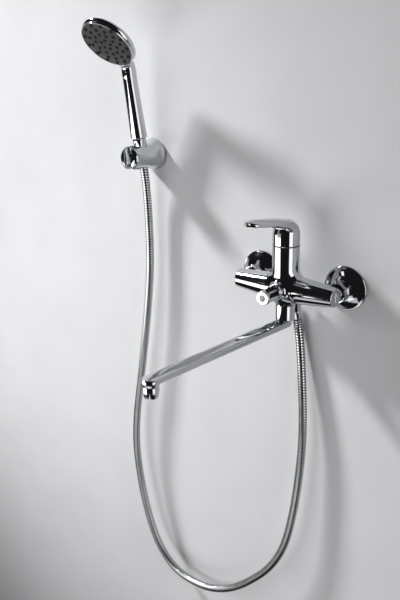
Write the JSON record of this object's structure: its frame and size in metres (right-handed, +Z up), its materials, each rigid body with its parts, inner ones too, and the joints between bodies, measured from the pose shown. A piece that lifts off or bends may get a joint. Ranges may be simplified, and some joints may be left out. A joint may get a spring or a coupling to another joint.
{
  "type": "wall mounted bath mixer",
  "caption": "Wall mounted single lever bath mixer with a long swivel spout, a diverter knob, a metal shower hose and a hand shower in its wall holder.",
  "frame": {"origin": "on the finished wall's face, midway between the two supply inlets and at their height", "axes": "+X along the wall to the right seen from the room, +Y into the wall, +Z up"},
  "size_m": [0.4728, 0.3627, 1.0578],
  "materials": {
    "chrome_plate": "polished",
    "hose_metal": "polished, spiral wound",
    "brass": "turned",
    "steel": "zinc plated",
    "rubber": "matt",
    "ceramic": "ground",
    "white_acetal": "moulded",
    "grey_plastic": "moulded, satin",
    "nozzle_silicone": "satin"
  },
  "bodies": {
    "root": {"mixer_body": "chrome_plate", "inlet_nut_left": "chrome_plate", "inlet_nut_right": "chrome_plate", "escutcheon_left": "chrome_plate", "escutcheon_right": "chrome_plate", "spout_nut": "chrome_plate", "hose_nut_lower": "chrome_plate", "hose_ferrule_lower": "chrome_plate", "holder_body": "chrome_plate", "hose_tube": "hose_metal", "inlet_union_left": "brass", "inlet_union_right": "brass", "cartridge_nut": "brass", "diverter_bush": "brass", "shower_outlet_nipple": "brass", "holder_screw_upper": "steel", "holder_screw_lower": "steel", "holder_grub_screw": "steel", "inlet_washer_left": "rubber", "inlet_washer_right": "rubber", "cartridge_seal": "rubber", "hose_washer_lower": "rubber", "ceramic_disc_fixed": "ceramic", "diverter_disc_fixed": "ceramic", "cartridge_housing": "white_acetal", "holder_wall_boss": "white_acetal"},
    "mixing": {"cartridge_spindle": "white_acetal", "ceramic_disc_moving": "ceramic", "lever_pin": "steel"},
    "lever": {"lever_handle": "chrome_plate", "lever_stem": "steel", "lever_grub_screw": "steel", "index_plug": "grey_plastic"},
    "diverter": {"diverter_stem": "brass", "diverter_disc_moving": "ceramic", "diverter_knob": "chrome_plate", "knob_screw": "steel", "knob_cap": "chrome_plate"},
    "spout": {"spout_tube": "chrome_plate", "spout_seal_1": "rubber", "spout_seal_2": "rubber", "aerator_housing": "chrome_plate", "aerator_insert": "white_acetal"},
    "handset": {"handset_shell": "chrome_plate", "handset_inlet": "brass", "face_plate": "grey_plastic", "nozzle_mat": "nozzle_silicone", "spray_distributor": "white_acetal", "hose_nut_upper": "chrome_plate", "hose_ferrule_upper": "chrome_plate", "hose_washer_upper": "rubber"}
  },
  "joints": [
    {"name": "lever_swing", "type": "hinge", "parent": "root", "child": "mixing", "pos_m": [0, -0.049, 0.074], "axis": [0, 0, 1], "range_deg": [-50, 50]},
    {"name": "lever_lift", "type": "hinge", "parent": "mixing", "child": "lever", "pos_m": [0, -0.049, 0.074], "axis": [-1, 0, 0], "range_deg": [0, 18]},
    {"name": "diverter_turn", "type": "hinge", "parent": "root", "child": "diverter", "pos_m": [0, -0.09, 0], "axis": [0, -1, 0], "range_deg": [0, 90]},
    {"name": "spout_swivel", "type": "hinge", "parent": "root", "child": "spout", "pos_m": [0, -0.049, -0.057], "axis": [0, 0, 1], "range_deg": [-79, 91]},
    {"name": "handset_lift", "type": "slide", "parent": "root", "child": "handset", "axis": [0, -0.1547, 0.988], "range_m": [0, 0.08]}
  ]
}
